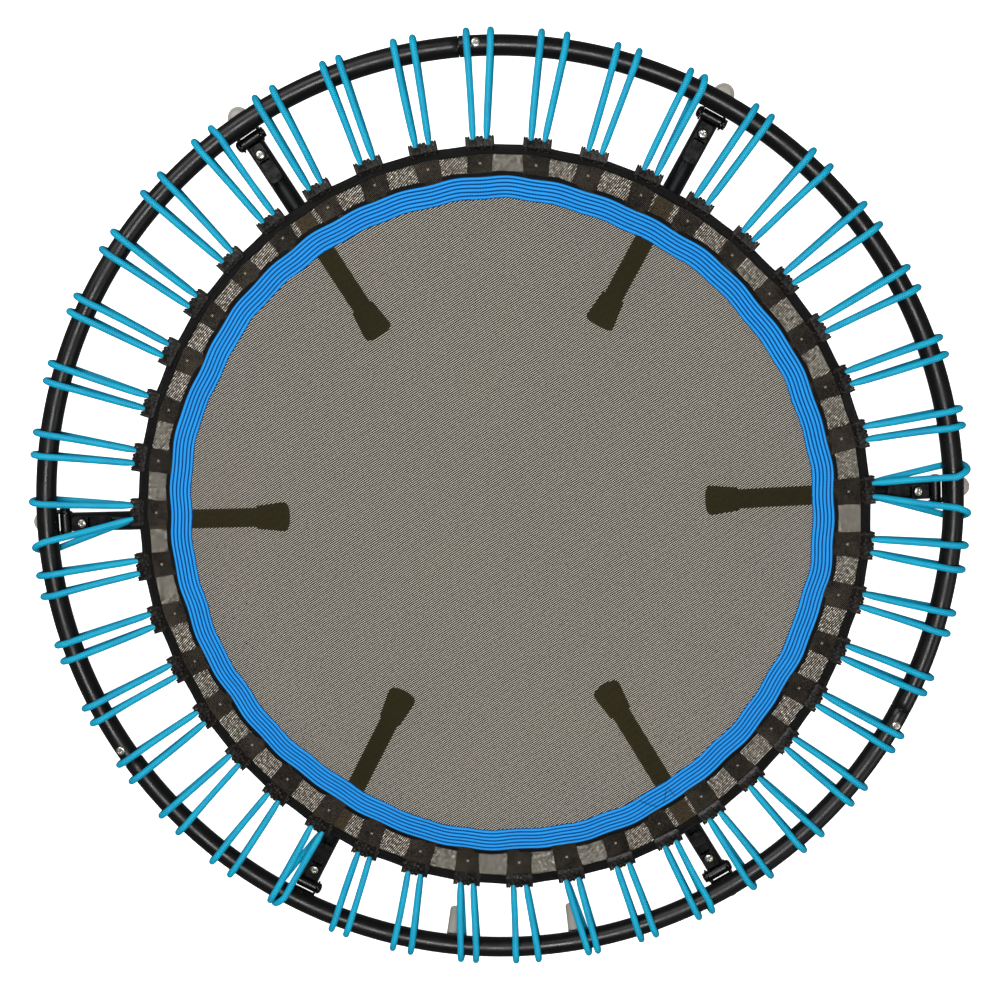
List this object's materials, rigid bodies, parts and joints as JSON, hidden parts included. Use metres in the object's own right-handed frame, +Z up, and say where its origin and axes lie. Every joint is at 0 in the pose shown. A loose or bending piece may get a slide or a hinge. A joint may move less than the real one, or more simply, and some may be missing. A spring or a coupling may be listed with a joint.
{
  "type": "mini trampoline",
  "caption": "Round folding fitness trampoline: see-through mat with a blue band hung on looped elastic cords in a steel tube ring, legs folded in under the mat.",
  "frame": {"origin": "on the floor under the centre of the frame ring, legs folded", "axes": "+Z up out of the mat, +Y towards frame joint 1, +X to its right"},
  "size_m": [1.2492, 1.2159, 0.0799],
  "materials": {
    "powder_coat": "satin black-brown powder coat on steel tube and plate",
    "zinc_screw": "zinc-plated pan-head screw",
    "black_steel": "black-oxide bolt and nut",
    "black_plastic": "moulded black plastic lever",
    "grey_plastic": "pale grey moulded plastic",
    "black_rubber": "matt moulded rubber",
    "mesh_fabric": "open woven polypropylene mesh",
    "blue_webbing": "stitched blue webbing",
    "blue_cord": "braided elastic cord and black clips"
  },
  "bodies": {
    "frame": {"frame_tube_1": "powder_coat", "frame_tube_2": "powder_coat", "frame_tube_3": "powder_coat", "frame_joint_screw_1": "zinc_screw", "frame_joint_screw_2": "zinc_screw", "frame_joint_screw_3": "zinc_screw", "leg_bracket_1": "powder_coat", "bracket_bumper_1": "grey_plastic", "hinge_bolt_1": "black_steel", "leg_bracket_2": "powder_coat", "bracket_bumper_2": "grey_plastic", "hinge_bolt_2": "black_steel", "leg_bracket_3": "powder_coat", "bracket_bumper_3": "grey_plastic", "hinge_bolt_3": "black_steel", "leg_bracket_4": "powder_coat", "bracket_bumper_4": "grey_plastic", "hinge_bolt_4": "black_steel", "leg_bracket_5": "powder_coat", "bracket_bumper_5": "grey_plastic", "hinge_bolt_5": "black_steel", "leg_bracket_6": "powder_coat", "bracket_bumper_6": "grey_plastic", "hinge_bolt_6": "black_steel", "stub_socket_1": "grey_plastic", "stub_socket_2": "grey_plastic", "bungee_set_1": "blue_cord", "bungee_set_2": "blue_cord", "bungee_set_3": "blue_cord", "bungee_set_4": "blue_cord", "bungee_set_5": "blue_cord", "bungee_set_6": "blue_cord"},
    "leg_1": {"leg_tube_1": "powder_coat", "rubber_foot_1": "black_rubber", "lever_screw_1": "zinc_screw"},
    "lever_1": {"lock_lever_1": "black_plastic"},
    "leg_2": {"leg_tube_2": "powder_coat", "rubber_foot_2": "black_rubber", "lever_screw_2": "zinc_screw"},
    "lever_2": {"lock_lever_2": "black_plastic"},
    "leg_3": {"leg_tube_3": "powder_coat", "rubber_foot_3": "black_rubber", "lever_screw_3": "zinc_screw"},
    "lever_3": {"lock_lever_3": "black_plastic"},
    "leg_4": {"leg_tube_4": "powder_coat", "rubber_foot_4": "black_rubber", "lever_screw_4": "zinc_screw"},
    "lever_4": {"lock_lever_4": "black_plastic"},
    "leg_5": {"leg_tube_5": "powder_coat", "rubber_foot_5": "black_rubber", "lever_screw_5": "zinc_screw"},
    "lever_5": {"lock_lever_5": "black_plastic"},
    "leg_6": {"leg_tube_6": "powder_coat", "rubber_foot_6": "black_rubber", "lever_screw_6": "zinc_screw"},
    "lever_6": {"lock_lever_6": "black_plastic"},
    "mat": {"mat": "mesh_fabric", "trim_band": "blue_webbing", "mesh_skirt": "mesh_fabric"}
  },
  "joints": [
    {"name": "leg_1_fold", "type": "hinge", "parent": "frame", "child": "leg_1", "pos_m": [0.57094, 0.00797, 0.036], "axis": [0.014, -0.9999, 0], "range_deg": [0, 90]},
    {"name": "leg_2_fold", "type": "hinge", "parent": "frame", "child": "leg_2", "pos_m": [0.29238, 0.49047, 0.036], "axis": [0.859, -0.512, 0], "range_deg": [0, 90]},
    {"name": "leg_3_fold", "type": "hinge", "parent": "frame", "child": "leg_3", "pos_m": [-0.29238, 0.49047, 0.036], "axis": [0.859, 0.512, 0], "range_deg": [0, 90]},
    {"name": "leg_4_fold", "type": "hinge", "parent": "frame", "child": "leg_4", "pos_m": [-0.57094, 0.00797, 0.036], "axis": [0.014, 0.9999, 0], "range_deg": [0, 90]},
    {"name": "leg_5_fold", "type": "hinge", "parent": "frame", "child": "leg_5", "pos_m": [-0.27857, -0.49844, 0.036], "axis": [-0.8729, 0.4879, 0], "range_deg": [0, 90]},
    {"name": "leg_6_fold", "type": "hinge", "parent": "frame", "child": "leg_6", "pos_m": [0.27857, -0.49844, 0.036], "axis": [-0.8729, -0.4879, 0], "range_deg": [0, 90]},
    {"name": "lever_1_press", "type": "hinge", "parent": "leg_1", "child": "lever_1", "pos_m": [0.54795, 0.00765, 0.037], "axis": [0.014, -0.9999, 0], "range_deg": [0, 4.5], "stiffness_Nm_per_rad": 1, "springref_deg": -11.46},
    {"name": "lever_2_press", "type": "hinge", "parent": "leg_2", "child": "lever_2", "pos_m": [0.2806, 0.47071, 0.037], "axis": [0.859, -0.512, 0], "range_deg": [0, 4.5], "stiffness_Nm_per_rad": 1, "springref_deg": -11.46},
    {"name": "lever_3_press", "type": "hinge", "parent": "leg_3", "child": "lever_3", "pos_m": [-0.2806, 0.47071, 0.037], "axis": [0.859, 0.512, 0], "range_deg": [0, 4.5], "stiffness_Nm_per_rad": 1, "springref_deg": -11.46},
    {"name": "lever_4_press", "type": "hinge", "parent": "leg_4", "child": "lever_4", "pos_m": [-0.54795, 0.00765, 0.037], "axis": [0.014, 0.9999, 0], "range_deg": [0, 4.5], "stiffness_Nm_per_rad": 1, "springref_deg": -11.46},
    {"name": "lever_5_press", "type": "hinge", "parent": "leg_5", "child": "lever_5", "pos_m": [-0.26735, -0.47836, 0.037], "axis": [-0.8729, 0.4879, 0], "range_deg": [0, 4.5], "stiffness_Nm_per_rad": 1, "springref_deg": -11.46},
    {"name": "lever_6_press", "type": "hinge", "parent": "leg_6", "child": "lever_6", "pos_m": [0.26735, -0.47836, 0.037], "axis": [-0.8729, -0.4879, 0], "range_deg": [0, 4.5], "stiffness_Nm_per_rad": 1, "springref_deg": -11.46},
    {"name": "mat_bounce", "type": "slide", "parent": "frame", "child": "mat", "axis": [0, 0, 1], "range_m": [-0.014, 0], "stiffness_N_per_m": 7000, "springref_m": 0.002, "deforming": ["bungee_set_1", "bungee_set_2", "bungee_set_3", "bungee_set_4", "bungee_set_5", "bungee_set_6"]}
  ]
}
